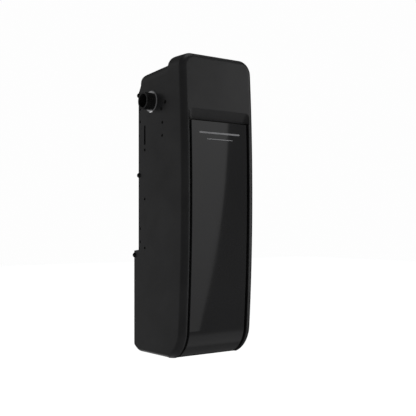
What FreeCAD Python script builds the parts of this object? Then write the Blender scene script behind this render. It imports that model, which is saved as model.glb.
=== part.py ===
"""Wall-mounted garage door opener that turns the torsion bar of a sectional door.

Frame: origin on the output shaft's axis, half-way between the flanks. +X right, +Y back to the wall, +Z up.
Heights are counted from the underside of the case and depths from the foremost point of its front.
"""
import FreeCAD, Part
import math
import os
from FreeCAD import Vector

# ---------------------------------------------------------------- driving dimensions, mm
BODY_WIDTH = 163.3
BODY_HEIGHT = 550.0
AXIS_HEIGHT = 471.5
AXIS_DEPTH = 105.5
WALL = 3.0

# front: a long shallow arc from top to nose, then a round nose under the case
FRONT_RADIUS = 3558.0
CROWN_HEIGHT = 299.3
NOSE_HEIGHT = 50.0
NOSE_END_DEPTH = 43.0
HOOD_DEPTH = 52.0
HOOD_CORNER = 26.0
HOOD_BACK_ROUND = 9.0
ENVELOPE_SPANS = 12
FRONT_EDGE = 10.4
BOTTOM_EDGE = 6.0

# rear shell: three rear planes, the lowest one furthest back
REAR_TOP_FRONT = 537.0
REAR_TOP_BACK = 529.0
TOP_DEPTH = 141.4
MID_DEPTH = 149.6
LOWER_DEPTH = 165.3
LOWER_HEIGHT = 192.0
MID_HEIGHT = 492.0
SLOPE_TOP = 506.0
HEEL_DEPTH = 146.0
HEEL_HEIGHT = 12.0
REAR_CORNER = 20.0
REAR_TOP_ROUND = 12.0

# recess in the front cover, with the tilting panel in it
RECESS_HALF = 69.15
RECESS_INSET = 12.0
RECESS_TOP = 431.0
RECESS_END_DEPTH = 45.5
SCOOP_MOUTH = (-2.0, 76.7, 464.5, 13.0)
SCOOP_FOOT = (10.1, 61.6, 431.0, 5.0)
SCOOP_BOTTOM = 429.5
SCOOP_SKIN = 2.8
PANEL_HALF = 63.15
PANEL_TOP = 428.2
PANEL_FLUSH = 0.8
PANEL_SKIN = 3.0
PANEL_RETURN = 10.0
INLAYS = ((45.0, 407.7, 1.5), (29.0, 396.5, 0.7))
HINGE_DEPTH = 40.0
HINGE_INSET = 4.5
HINGE_BEAD = 3.7
HINGE_PIN = 1.8

# output shaft and its bearings
SHAFT_R = 16.0
BAR_BORE_R = 12.95
SHAFT_OUT = 19.0
RUNNING = 0.05
BUSH_R = 18.2
BUSH_RIM_R = 20.4
BUSH_RIM_OUT = 2.0
BUSH_RIM_EDGE = 1.3
BUSH_END = 65.15
PLATE_R = 33.0
PLATE_THICK = 2.5

# worm drive
GEAR_MODULE = 2.0
WHEEL_TEETH = 32
WORM_R = 9.0
TOOTH_SHARE = 0.40
WHEEL_X = 30.0
WHEEL_FACE = 14.0
HUB_R = 21.0
CASE_WALL = 2.5

# clutch and release lever
DOG_COUNT = 6
DOG_ENGAGE = 4.0
DOG_LONG = 16.0
KEY_WIDTH = 4.0
KEY_TOP = 17.2
COIL_STEPS = 24
PIVOT_R = 2.5
LEVER_ARM = 42.0
FORK_X = -10.2
FORK_PIN_R = 2.5
ROPE_X = -62.0

# motor, under the gearbox
MOTOR_R = 34.0
MOTOR_LONG = 126.0
MOTOR_SHAFT_R = 4.0

# electrics
BOARD_THICK = 1.6
BOARD_DEPTH = 30.0
BUTTON_R = 4.0

# ---------------------------------------------------------------- helpers
HALF = BODY_WIDTH / 2
PLATE_FACE = HALF - WALL - PLATE_THICK
WHEEL_PITCH_R = GEAR_MODULE * WHEEL_TEETH / 2
WORM_Y = -(WHEEL_PITCH_R + WORM_R)


def up(height):
    """Z of a height above the underside."""
    return height - AXIS_HEIGHT


def back(depth):
    """Y of a depth behind the foremost point of the front."""
    return depth - AXIS_DEPTH


def at(depth, height, x=0.0):
    """Point in the frame from depth and height."""
    return Vector(x, back(depth), up(height))


def box(x0, x1, y0, y1, z0, z1):
    """Box between two corners."""
    return Part.makeBox(x1 - x0, y1 - y0, z1 - z0, Vector(x0, y0, z0))


def case_box(x0, x1, depth0, depth1, height0, height1):
    """Box given by depths and heights of the case."""
    return box(x0, x1, back(depth0), back(depth1), up(height0), up(height1))


def rod(radius, start, end):
    """Round bar between two points."""
    run = end - start
    return Part.makeCylinder(radius, run.Length, start, run)


def ring(outer, inner, start, end):
    """Round tube between two points."""
    run = end - start
    bore = rod(inner, start - run * 0.1, end + run * 0.1)
    return rod(outer, start, end).cut(bore)


def x_ring(outer, inner, x0, x1, y=0.0, z=0.0):
    """Ring round an axis along X."""
    return ring(outer, inner, Vector(x0, y, z), Vector(x1, y, z))


def x_rod(radius, x0, x1, y=0.0, z=0.0):
    """Round bar along X."""
    return rod(radius, Vector(x0, y, z), Vector(x1, y, z))


def y_rod(radius, x, z, y0, y1):
    """Round bar along Y."""
    return rod(radius, Vector(x, y0, z), Vector(x, y1, z))


def z_rod(radius, x, y, z0, z1):
    """Round bar along Z."""
    return rod(radius, Vector(x, y, z0), Vector(x, y, z1))


def group(shapes):
    """Separate solids kept in one node."""
    return Part.Compound(shapes)


def fuse(shapes):
    """One solid from several that touch or overlap."""
    return shapes[0].fuse(shapes[1:]).removeSplitter()


def polygon(points):
    """Flat face with straight sides."""
    return Part.Face(Part.makePolygon(points + [points[0]]))


def mirror_x(shape):
    """The same piece on the other flank."""
    return shape.mirror(Vector(0, 0, 0), Vector(1, 0, 0))


def along(edge, axis):
    """True if a straight edge runs along one axis of the frame."""
    if not isinstance(edge.Curve, Part.Line):
        return False
    run = edge.Vertexes[-1].Point - edge.Vertexes[0].Point
    return abs(run.dot(axis)) > 0.999 * run.Length


def pan_head_screw(head_r, head_high, shank_r, length, base, direction):
    """Screw with a domed head outside base and a shank that goes in along direction."""
    direction = Vector(direction).normalize()
    dome = Part.makeCylinder(head_r, head_high, base - direction * head_high, direction)
    rim = [e for e in dome.Edges if e.Length > 1 and (e.CenterOfMass - base).Length > head_high * 0.9]
    dome = dome.makeFillet(head_high * 0.6, rim)
    slot_box = Part.makeBox(head_r * 1.2, head_r * 0.28, head_high * 0.45)
    slots = []
    for turn in (0, 90):
        bar = slot_box.copy()
        bar.translate(Vector(-head_r * 0.6, -head_r * 0.14, 0))
        bar.rotate(Vector(0, 0, 0), Vector(0, 0, 1), turn)
        slots.append(bar)
    cross = slots[0].fuse(slots[1])
    turned = FreeCAD.Rotation(Vector(0, 0, 1), direction)
    cross.Placement = FreeCAD.Placement(base - direction * head_high, turned)
    return dome.cut(cross).fuse(Part.makeCylinder(shank_r, length, base, direction))


# ---------------------------------------------------------------- front curve
def front_point(height, inset=0.0):
    """Point of the front arc at a height, moved inwards by inset."""
    radius = FRONT_RADIUS - inset
    return FRONT_RADIUS - math.sqrt(radius ** 2 - (height - CROWN_HEIGHT) ** 2), height


def nose_circle():
    """Centre (depth, height) and radius of the nose, which meets the front arc smoothly."""
    depth, height = front_point(NOSE_HEIGHT)
    normal = ((FRONT_RADIUS - depth) / FRONT_RADIUS, (CROWN_HEIGHT - height) / FRONT_RADIUS)
    run = (NOSE_END_DEPTH - depth, -height)
    radius = (run[0] ** 2 + run[1] ** 2) / (2 * (normal[0] * run[0] + normal[1] * run[1]))
    return depth + radius * normal[0], height + radius * normal[1], radius


NOSE_D, NOSE_H, NOSE_R = nose_circle()
NOSE_JOIN = front_point(NOSE_HEIGHT)
NOSE_START = math.atan2(NOSE_JOIN[1] - NOSE_H, NOSE_JOIN[0] - NOSE_D) % (2 * math.pi)


def nose_point(angle, inset=0.0):
    """Point of the nose arc at an angle seen from its centre."""
    radius = NOSE_R - inset
    return NOSE_D + radius * math.cos(angle), NOSE_H + radius * math.sin(angle)


def nose_angle_at_depth(depth, inset=0.0):
    """Angle at which the nose arc reaches a depth on its way under the case."""
    return 2 * math.pi - math.acos((depth - NOSE_D) / (NOSE_R - inset))


def arc(start, middle, end, x):
    """Arc in a plane of constant X through three (depth, height) points."""
    return Part.Arc(at(*start, x), at(*middle, x), at(*end, x)).toShape()


def line(start, end, x):
    """Straight edge in a plane of constant X between two (depth, height) points."""
    return Part.LineSegment(at(*start, x), at(*end, x)).toShape()


def front_edges(inset, top, end_angle, x, spans=1):
    """The front curve from the height top down the arc, in equal spans, and then round the nose."""
    join = nose_point(NOSE_START, inset)
    step = (top - join[1]) / spans
    edges = []
    for span in range(spans):
        start = front_point(top - step * span, inset)
        middle = front_point(top - step * (span + 0.5), inset)
        end = front_point(top - step * (span + 1), inset) if span < spans - 1 else join
        edges.append(arc(start, middle, end, x))
    middle = (NOSE_START + end_angle) / 2
    edges.append(arc(join, nose_point(middle, inset), nose_point(end_angle, inset), x))
    return edges


def front_band(inset0, inset1, half_width, top, end_angle, x_mid=0.0):
    """Slab that follows the front curve between two insets, from top to an angle on the nose."""
    x = x_mid - half_width
    outer = front_edges(inset0, top, end_angle, x)
    inner = front_edges(inset1, top, end_angle, x)
    edges = outer + inner
    edges.append(line(nose_point(end_angle, inset0), nose_point(end_angle, inset1), x))
    edges.append(line(front_point(top, inset0), front_point(top, inset1), x))
    wire = Part.Wire(Part.__sortEdges__(edges))
    return Part.Face(wire).extrude(Vector(2 * half_width, 0, 0))


# ---------------------------------------------------------------- case envelopes
def rounded_wire(points, radii):
    """Closed wire through points with each corner rounded by its radius, 0 for a sharp one."""
    starts = []
    ends = []
    arcs = []
    for index, corner in enumerate(points):
        before = (points[index - 1] - corner).normalize()
        after = (points[(index + 1) % len(points)] - corner).normalize()
        half_angle = before.getAngle(after) / 2
        reach = radii[index] / math.tan(half_angle)
        starts.append(corner + before * reach)
        ends.append(corner + after * reach)
        if radii[index]:
            inward = (before + after).normalize()
            middle = corner + inward * (radii[index] / math.sin(half_angle) - radii[index])
            arcs.append(Part.Arc(starts[-1], middle, ends[-1]).toShape())
    lines = [
        Part.LineSegment(ends[index - 1], starts[index]).toShape()
        for index in range(len(points)) if (ends[index - 1] - starts[index]).Length > 1e-6
    ]
    return Part.Wire(Part.__sortEdges__(arcs + lines))


def corner_cutter(rear, top, radius):
    """What is cut from the upper rear corner of the hood to round it."""
    x = -HALF - 1
    turn = radius * (1 - math.sqrt(0.5))
    edges = [
        arc((rear, top - radius), (rear - turn, top - turn), (rear - radius, top), x),
        line((rear - radius, top), (rear - radius, top + 5), x),
        line((rear - radius, top + 5), (rear + 5, top + 5), x),
        line((rear + 5, top + 5), (rear + 5, top - radius), x),
        line((rear + 5, top - radius), (rear, top - radius), x),
    ]
    return Part.Face(Part.Wire(Part.__sortEdges__(edges))).extrude(Vector(2 * HALF + 2, 0, 0))


def front_envelope(inset):
    """Solid inside the front cover's outside, moved inwards by inset."""
    x = -(HALF - inset)
    end = nose_angle_at_depth(NOSE_END_DEPTH)
    if inset > 0:
        end = math.pi + math.asin((NOSE_H - inset) / (NOSE_R - inset))
    top = BODY_HEIGHT - inset
    rear = HOOD_DEPTH - inset
    edges = front_edges(inset, top, end, x, ENVELOPE_SPANS)
    edges.append(line(nose_point(end, inset), (rear, inset), x))
    edges.append(line((rear, inset), (rear, top), x))
    edges.append(line((rear, top), front_point(top, inset), x))
    solid = Part.Face(Part.Wire(Part.__sortEdges__(edges))).extrude(Vector(-2 * x, 0, 0))
    top_edges = [e for e in solid.Edges if along(e, Vector(0, 1, 0)) and e.CenterOfMass.z > up(top) - 1]
    solid = solid.makeFillet(HOOD_CORNER - inset, top_edges)
    solid = solid.makeFillet(FRONT_EDGE - inset, front_rim(solid, inset))
    return solid.cut(corner_cutter(rear, top, HOOD_BACK_ROUND - inset / 2))


def front_rim(solid, inset):
    """Edges between the front and the flanks and top."""
    found = []
    for edge in solid.Edges:
        middle = edge.valueAt((edge.FirstParameter + edge.LastParameter) / 2)
        height = middle.z - up(0)
        depth = middle.y - back(0)
        if height >= NOSE_HEIGHT:
            gap = abs(math.hypot(FRONT_RADIUS - depth, height - CROWN_HEIGHT) - FRONT_RADIUS + inset)
        else:
            gap = abs(math.hypot(NOSE_D - depth, height - NOSE_H) - NOSE_R + inset)
        inner_seam = along(edge, Vector(1, 0, 0)) and height < NOSE_HEIGHT + 1
        if gap < 0.05 and not inner_seam and middle.y < back(NOSE_END_DEPTH) - 0.1:
            found.append(edge)
    return found


def rear_envelope(inset, front_depth):
    """Solid inside the rear shell's outside, moved inwards by inset, reaching forward to front_depth."""
    slope = (REAR_TOP_FRONT - REAR_TOP_BACK) / (TOP_DEPTH - HOOD_DEPTH)
    front_top = REAR_TOP_FRONT + slope * (HOOD_DEPTH - front_depth + inset)
    outline = [
        (front_depth - inset, 0),
        (HEEL_DEPTH, 0),
        (LOWER_DEPTH, HEEL_HEIGHT),
        (LOWER_DEPTH, LOWER_HEIGHT),
        (MID_DEPTH, LOWER_HEIGHT + 2),
        (MID_DEPTH, MID_HEIGHT),
        (TOP_DEPTH, SLOPE_TOP),
        (TOP_DEPTH, REAR_TOP_BACK),
        (front_depth - inset, front_top),
    ]
    x = -(HALF - inset)
    radii = [0, 0, 6, 0, 0, 0, 0, REAR_TOP_ROUND, 0]
    face = Part.Face(rounded_wire([at(depth, height, x) for depth, height in outline], radii))
    if inset > 0:
        face = face.makeOffset2D(-inset)
    solid = face.extrude(Vector(-2 * x, 0, 0))
    roof = REAR_TOP_FRONT + slope * (HOOD_DEPTH - front_depth + 20) - inset
    corners = ((x, -5), (-x, -5), (-x, roof), (x, roof))
    section = [at(front_depth - 20, height, side) for side, height in corners]
    corner = REAR_CORNER - inset
    top_cut = Part.Face(rounded_wire(section, [0, 0, corner, corner]))
    reach = LOWER_DEPTH - front_depth + 40
    return solid.common(top_cut.extrude(Vector(0, reach, -reach * slope)))


# ---------------------------------------------------------------- case pieces
FLANK_HOLE_DEPTH = 128.0
FLANK_HOLES = (382.8, 290.3, 197.8)
FLANK_HOLE_R = 2.6
FLANK_SLOT = (392.4, 429.5)
# depth, height, head radius
SIDE_SCREWS = ((59.5, 465.2, 3.2), (71.9, 454.3, 3.0), (68.7, 428.8, 2.4), (69.4, 405.0, 2.3))
SIDE_SCREW_SINK = 1.5
BRACKET_SCREWS = ((488.0, MID_DEPTH), (335.8, MID_DEPTH), (183.5, LOWER_DEPTH))
NOTCHES = (461.8, 437.7, 234.1, 209.2)
PLATE_SCREW_R = 27.0
PLATE_SCREW_START = 45.0
PLATE_SCREW_LONG = 4.6
INSERT_X = 45.0
INSERT_HEIGHTS = (240.0, 440.0)
INSERT_BORE_R = 2.5
CORD_X = 0.0
CORD_DEPTH = 120.0
CORD_R = 4.0
ROPE_BUSH_R = 2.5
WINDOW_CONTROL = (48.0, 175.0, 290.0)
WINDOW_BATTERY = (50.0, 42.0, 150.0)
HINGE_ANGLE = nose_angle_at_depth(HINGE_DEPTH, HINGE_INSET)
HINGE_AT = nose_point(HINGE_ANGLE, HINGE_INSET)


def scoop(grow):
    """Shallow tapered scoop above the panel, grown outwards by grow."""
    wires = []
    for depth, half_width, top, corner in (SCOOP_MOUTH, SCOOP_FOOT):
        half = half_width + grow
        corners = ((-half, 410), (half, 410), (half, top + grow), (-half, top + grow))
        points = [at(depth, height, x) for x, height in corners]
        wires.append(rounded_wire(points, [0, 0, corner + grow, corner + grow]))
    taper = Part.makeLoft(wires, True, True)
    return taper.common(case_box(-HALF, HALF, -10, 20, SCOOP_BOTTOM - grow, 500))


def window(half_width, bottom, top):
    """Opening in the floor of the recess."""
    return case_box(-half_width, half_width, 5, 40, bottom, top)


def front_cover():
    """Hood, flanks and rims in one moulding, with the recess that the panel closes."""
    recess_end = nose_angle_at_depth(RECESS_END_DEPTH)
    floor_end = nose_angle_at_depth(RECESS_END_DEPTH + 3.5)
    outside = front_envelope(0)
    shell = outside.cut(front_envelope(WALL)).cut(rear_envelope(WALL, HOOD_DEPTH - 1.5 * WALL))
    floor = front_band(0.5, RECESS_INSET + 2.5, RECESS_HALF + 2.5, RECESS_TOP + 2.5, floor_end)
    scoop_back = scoop(SCOOP_SKIN)
    scoop_back.translate(Vector(0, SCOOP_SKIN, 0))
    floor = floor.fuse(scoop_back)
    cover = shell.fuse(floor.common(outside))
    cover = cover.cut(front_band(-1, RECESS_INSET, RECESS_HALF, RECESS_TOP, recess_end))
    cover = cover.cut(scoop(0))
    cover = cover.cut([window(*WINDOW_CONTROL), window(*WINDOW_BATTERY)])
    for x in (-RECESS_HALF - 2.6, RECESS_HALF - 0.1):
        cover = cover.cut(x_rod(HINGE_PIN, x, x + 2.7, back(HINGE_AT[0]), up(HINGE_AT[1])))
    return cover.removeSplitter()


def rear_housing():
    """Rear shell with the flank openings, bracket ears, and holes in its floor."""
    block = rear_envelope(0, HOOD_DEPTH)
    low_edges = [
        e for e in block.Edges
        if along(e, Vector(0, 1, 0)) and abs(e.CenterOfMass.z - up(0)) < 0.1
    ]
    block = block.makeFillet(BOTTOM_EDGE, low_edges)
    ears = []
    for side in (-1, 1):
        for height, depth in BRACKET_SCREWS:
            ends = sorted((side * HALF, side * (HALF - 7)))
            ears.append(x_rod(5.0, ends[0], ends[1], back(depth - 1.5), up(height)))
    shell = block.cut(rear_envelope(WALL, HOOD_DEPTH - WALL)).fuse(ears)
    cuts = [
        z_rod(CORD_R + 4, CORD_X, back(CORD_DEPTH), up(-1), up(WALL + 1)),
        z_rod(ROPE_BUSH_R + 3.5, ROPE_X, 0, up(-1), up(WALL + 1)),
    ]
    for x in (-INSERT_X, INSERT_X):
        for height in INSERT_HEIGHTS:
            cuts.append(y_rod(4.5, x, up(height), back(MID_DEPTH - 5), back(MID_DEPTH + 1)))
    for x0 in (-HALF - 1, HALF - WALL - 1):
        x1 = x0 + WALL + 2
        cuts.append(x_rod(BUSH_R + 0.1, x0, x1))
        for height in FLANK_HOLES:
            cuts.append(x_rod(FLANK_HOLE_R, x0, x1, back(FLANK_HOLE_DEPTH), up(height)))
        for depth, height, _ in SIDE_SCREWS:
            cuts.append(x_rod(1.5, x0, x1, back(depth), up(height)))
        slot_ends = (FLANK_SLOT[0] + 2.5, FLANK_SLOT[1] - 2.5)
        cuts.append(case_box(x0, x1, FLANK_HOLE_DEPTH - 2.5, FLANK_HOLE_DEPTH + 2.5, *slot_ends))
        for end in slot_ends:
            cuts.append(x_rod(2.5, x0, x1, back(FLANK_HOLE_DEPTH), up(end)))
        for height in NOTCHES:
            cuts.append(case_box(x0, x1, MID_DEPTH - 7.3, MID_DEPTH - 3.3, height - 2.5, height + 2.5))
    for side in (-1, 1):
        for height, depth in BRACKET_SCREWS:
            ends = sorted((side * (HALF + 1), side * (HALF - 7.1)))
            cuts.append(x_rod(1.6, ends[0], ends[1], back(depth - 1.5), up(height)))
        for depth, height, head in SIDE_SCREWS:
            ends = sorted((side * (HALF + 1), side * (HALF - SIDE_SCREW_SINK)))
            cuts.append(x_rod(head + 0.5, ends[0], ends[1], back(depth), up(height)))
        for y, z in plate_screw_places():
            ends = sorted((side * (HALF - WALL - 1), side * (PLATE_FACE + PLATE_SCREW_LONG)))
            cuts.append(x_rod(1.6, ends[0], ends[1], y, z))
    return shell.cut(cuts).removeSplitter()


def access_panel():
    """Glossy front: a curved skin with returned edges and a hinge bead under the nose."""
    skin = front_band(PANEL_FLUSH, PANEL_FLUSH + PANEL_SKIN, PANEL_HALF, PANEL_TOP, HINGE_ANGLE)
    edge = 1.25
    sides = [
        front_band(PANEL_FLUSH, PANEL_RETURN, edge, PANEL_TOP, HINGE_ANGLE, x)
        for x in (edge - PANEL_HALF, PANEL_HALF - edge)
    ]
    lip = front_band(PANEL_FLUSH, PANEL_RETURN, PANEL_HALF, PANEL_TOP, HINGE_ANGLE)
    lip = lip.common(case_box(-80, 80, -5, 30, PANEL_TOP - 2.5, PANEL_TOP + 5))
    bead = x_rod(HINGE_BEAD, -PANEL_HALF, PANEL_HALF, back(HINGE_AT[0]), up(HINGE_AT[1]))
    panel = skin.fuse(sides + [lip, bead]).removeSplitter()
    for x in (-PANEL_HALF - 1, PANEL_HALF - 9):
        panel = panel.cut(x_rod(HINGE_PIN + RUNNING, x, x + 10, back(HINGE_AT[0]), up(HINGE_AT[1])))
    for mark in inlay_blocks():
        panel = panel.cut(mark)
    return panel


def inlay_blocks():
    """Two plain bars set flush in the panel's upper part."""
    band = front_band(PANEL_FLUSH, PANEL_FLUSH + 0.5, PANEL_HALF, PANEL_TOP, HINGE_ANGLE)
    bars = []
    for half_width, height, half_high in INLAYS:
        body = case_box(-half_width, half_width, -5, 10, height - half_high, height + half_high)
        for x in (-half_width, half_width):
            body = body.fuse(y_rod(half_high, x, up(height), back(-5), back(10)))
        bars.append(band.common(body.removeSplitter()).Solids[0])
    return bars


def hinge_pins():
    """Two short pins that carry the panel."""
    y, z = back(HINGE_AT[0]), up(HINGE_AT[1])
    return group([x_rod(HINGE_PIN, x, x + 16.5, y, z) for x in (-RECESS_HALF - 2.5, RECESS_HALF - 14)])


def panel_magnets():
    """Round catches on the floor of the recess, behind the top lip of the panel."""
    depth = front_point(412)[0] + RECESS_INSET
    return group([y_rod(4.0, x, up(420), back(depth - 1.4), back(depth - 0.02)) for x in (-45, 45)])


def bracket_screws():
    """Black shoulder screws in the ears at the rear edges, where a wall bracket is held."""
    screws = []
    for side in (-1, 1):
        for height, depth in BRACKET_SCREWS:
            base = Vector(side * HALF, back(depth - 1.5), up(height))
            screws.append(pan_head_screw(4.2, 2.6, 1.6, 7.0, base, (-side, 0, 0)))
    return group(screws)


def side_screws():
    """Small screws sunk in the flanks."""
    screws = []
    for side in (-1, 1):
        for depth, height, head in SIDE_SCREWS:
            base = Vector(side * (HALF - SIDE_SCREW_SINK), back(depth), up(height))
            screws.append(pan_head_screw(head, 1.0, 1.5, 7.0, base, (-side, 0, 0)))
    return group(screws)


# ---------------------------------------------------------------- output shaft and bearings
def plate_screw_places():
    """(y, z) of the four screws of a bearing plate."""
    turns = [math.radians(PLATE_SCREW_START + 90 * step) for step in range(4)]
    return [(PLATE_SCREW_R * math.cos(turn), PLATE_SCREW_R * math.sin(turn)) for turn in turns]


def bearing_plates():
    """Round plates inside the flanks that carry the shaft's bushes."""
    plate = x_ring(PLATE_R, BUSH_R, -(HALF - WALL), -PLATE_FACE)
    for y, z in plate_screw_places():
        plate = plate.cut(x_rod(1.6, -HALF, 0, y, z))
    return group([plate, mirror_x(plate)])


def plate_screws():
    """Screws that hold the bearing plates to the flanks from inside."""
    screws = []
    for side in (-1, 1):
        for y, z in plate_screw_places():
            base = Vector(side * PLATE_FACE, y, z)
            screws.append(pan_head_screw(3.0, 1.6, 1.6, PLATE_SCREW_LONG, base, (side, 0, 0)))
    return group(screws)


def shaft_bushes():
    """Sleeves in which the output shaft turns, each with a bevelled rim outside the flank."""
    rim = x_rod(BUSH_RIM_R, -HALF - BUSH_RIM_OUT, -HALF)
    outer_edge = [e for e in rim.Edges if e.CenterOfMass.x < -HALF - BUSH_RIM_OUT / 2 and e.Length > 100]
    outer_edge = [e for e in outer_edge if isinstance(e.Curve, Part.Circle)]
    rim = rim.makeChamfer(BUSH_RIM_EDGE, outer_edge)
    bush = rim.fuse(x_rod(BUSH_R, -HALF, -BUSH_END)).removeSplitter()
    bush = bush.cut(x_rod(SHAFT_R + RUNNING, -HALF - 9, -BUSH_END + 1))
    return group([bush, mirror_x(bush)])


def key_block(grow):
    """The two keys of the shaft, grown by a clearance."""
    width = KEY_WIDTH / 2 + grow
    long0, long1 = -DOG_LONG - 18.0, 0.0
    return [
        box(long0 - grow, long1 + grow, -width, width, 14.5 - grow, KEY_TOP + grow),
        box(long0 - grow, long1 + grow, -width, width, -KEY_TOP - grow, -14.5 + grow),
    ]


def output_shaft():
    """Hollow shaft that slides over the door's torsion bar and sticks out of the left flank as a collar."""
    left = -(HALF + SHAFT_OUT)
    shaft = x_ring(SHAFT_R, BAR_BORE_R, left, HALF + 1.5)
    shaft = shaft.cut(key_block(0))
    for y, z in ((0, 1), (-1, 0)):
        start = Vector(left + 10, 0, 0)
        shaft = shaft.cut(rod(2.5, start, start + Vector(0, y, z) * 20))
    return shaft


def collar_set_screws():
    """Grub screws that clamp the collar to the torsion bar."""
    screws = []
    for y, z in ((0, 1), (-1, 0)):
        direction = Vector(0, y, z)
        start = Vector(-(HALF + SHAFT_OUT) + 10, 0, 0) + direction * 13.4
        screw = rod(2.5, start, start + direction * 2.1)
        socket = rod(1.2, start + direction * 1.0, start + direction * 3)
        screws.append(screw.cut(socket))
    return group(screws)


def shaft_rings():
    """Retaining rings beside the bushes and the stop ring of the clutch spring."""
    inner = HALF - 17.5
    stop = -DOG_LONG - 22.0
    places = ((-inner, -inner + 1.5, 19.0), (inner - 1.5, inner, 19.0), (stop, stop + 2.0, 20.0))
    return group([x_ring(outer, SHAFT_R, x0, x1) for x0, x1, outer in places])


# ---------------------------------------------------------------- gears
def gear_outline(teeth, module, share, tip_clear=1.25):
    """Closed (y, z) outline of straight-flanked teeth, with one tooth centred on -Y."""
    pitch_r = module * teeth / 2
    lean = math.tan(math.radians(20))
    half = share * math.pi * module / 2
    points = []
    for tooth in range(teeth):
        middle = math.pi + 2 * math.pi * tooth / teeth
        for radius, sign in ((pitch_r - tip_clear * module, -1), (pitch_r + module, -1),
                             (pitch_r + module, 1), (pitch_r - tip_clear * module, 1)):
            width = half - (radius - pitch_r) * lean
            angle = middle + sign * width / radius
            points.append((radius * math.cos(angle), radius * math.sin(angle)))
    return points


def spur_gear(teeth, module, share, x0, x1):
    """Straight gear round the X axis."""
    outline = [Vector(x0, y, z) for y, z in gear_outline(teeth, module, share)]
    return polygon(outline).extrude(Vector(x1 - x0, 0, 0))


ENCODER_DRIVE_TEETH = 40
ENCODER_TEETH = 20
ENCODER_MODULE = 1.0
ENCODER_Y = -(ENCODER_DRIVE_TEETH + ENCODER_TEETH) * ENCODER_MODULE / 2 - 0.1


def encoder_drive_gear():
    """Gear on the output shaft that drives the position sensor."""
    gear = spur_gear(ENCODER_DRIVE_TEETH, ENCODER_MODULE, 0.42, -56, -50)
    return gear.cut(x_rod(SHAFT_R, -57, -49))


def encoder_gear():
    """Small gear of the position sensor, half a tooth round from the drive gear."""
    gear = spur_gear(ENCODER_TEETH, ENCODER_MODULE, 0.42, -55.5, -50.5)
    gear.rotate(Vector(0, 0, 0), Vector(1, 0, 0), 180.0 / ENCODER_TEETH)
    gear.translate(Vector(0, ENCODER_Y, 0))
    return gear.cut(x_rod(2.0 + RUNNING, -57, -49, ENCODER_Y))


def encoder_pin():
    """Axle of the sensor gear."""
    return x_rod(2.0, -66, -49, ENCODER_Y)


def encoder_bracket():
    """Plate on two legs, fixed to the left flank, that holds the sensor gear's axle."""
    plate = box(-66, -62, ENCODER_Y - 11, ENCODER_Y + 9, -12, 12)
    legs = [box(WALL - HALF, -66, ENCODER_Y - 11, ENCODER_Y - 5, z, z + 5) for z in (-12, 7)]
    return fuse([plate] + legs).cut(x_rod(2.0, -67, -61, ENCODER_Y))


def worm_wheel():
    """Helical wheel on a long hub that turns on the shaft; its left end has the clutch's pockets."""
    pitch = math.pi * GEAR_MODULE
    lead = math.degrees(math.atan(pitch / (2 * math.pi * WORM_R)))
    root_r = WHEEL_PITCH_R - 1.25 * GEAR_MODULE
    lean = math.tan(math.radians(20))
    half = TOOTH_SHARE * pitch / 2
    foot, tip = half + 1.25 * GEAR_MODULE * lean, half - GEAR_MODULE * lean
    x = -WHEEL_FACE / 2
    profile = [
        Vector(x, -(root_r - 1), -foot), Vector(x, -(WHEEL_PITCH_R + GEAR_MODULE), -tip),
        Vector(x, -(WHEEL_PITCH_R + GEAR_MODULE), tip), Vector(x, -(root_r - 1), foot),
    ]
    tooth = polygon(profile).extrude(Vector(WHEEL_FACE, 0, 0))
    tooth.rotate(Vector(0, 0, 0), Vector(0, 1, 0), lead)
    trim = x_rod(WHEEL_PITCH_R + 3, -WHEEL_FACE / 2, WHEEL_FACE / 2)
    tooth = tooth.common(trim)
    teeth = []
    for step in range(WHEEL_TEETH):
        copy = tooth.copy()
        copy.rotate(Vector(0, 0, 0), Vector(1, 0, 0), step * 360.0 / WHEEL_TEETH)
        teeth.append(copy)
    rim = x_rod(root_r, -WHEEL_FACE / 2, WHEEL_FACE / 2).fuse(teeth)
    rim.translate(Vector(WHEEL_X, 0, 0))
    wheel = rim.fuse(x_rod(HUB_R, 0.3, WHEEL_X + 14.5))
    wheel = wheel.cut(x_rod(SHAFT_R + 0.08, -1, WHEEL_X + 16))
    return wheel.cut(dog_blocks(HUB_R + 1, 17.0, 0.0, DOG_ENGAGE + 1.2, 15.0))


def dog_blocks(outer, inner, x0, x1, half_angle):
    """Ring sectors spread evenly round the shaft."""
    band = x_ring(outer, inner, x0, x1)
    reach = 2 * HUB_R
    blocks = []
    for step in range(DOG_COUNT):
        middle = 2 * math.pi * (step + 0.5) / DOG_COUNT
        corners = [Vector(x0 - 1, 0, 0)]
        for sign in (-1, 1):
            angle = middle + sign * math.radians(half_angle)
            corners.append(Vector(x0 - 1, reach * math.cos(angle), reach * math.sin(angle)))
        wedge = polygon(corners).extrude(Vector(x1 - x0 + 2, 0, 0))
        blocks.append(band.common(wedge).Solids[0])
    return blocks


def clutch_dog():
    """Sliding sleeve, keyed to the shaft, whose six dogs drive the worm wheel."""
    sleeve = x_rod(HUB_R, -DOG_LONG, 0).fuse(dog_blocks(HUB_R - 0.8, 17.6, -0.5, DOG_ENGAGE, 12.0))
    sleeve = sleeve.cut(x_rod(SHAFT_R + 0.08, -DOG_LONG - 1, DOG_ENGAGE + 1))
    sleeve = sleeve.cut(x_ring(HUB_R + 2, 18.5, FORK_X - FORK_PIN_R - 0.4, FORK_X + FORK_PIN_R + 0.4))
    grooves = [
        box(-DOG_LONG - 1, DOG_ENGAGE + 1, -KEY_WIDTH / 2 - 0.15, KEY_WIDTH / 2 + 0.15, z0, z1)
        for z0, z1 in ((10, KEY_TOP + 0.2), (-KEY_TOP - 0.2, -10))
    ]
    return sleeve.cut(grooves).removeSplitter()


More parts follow.
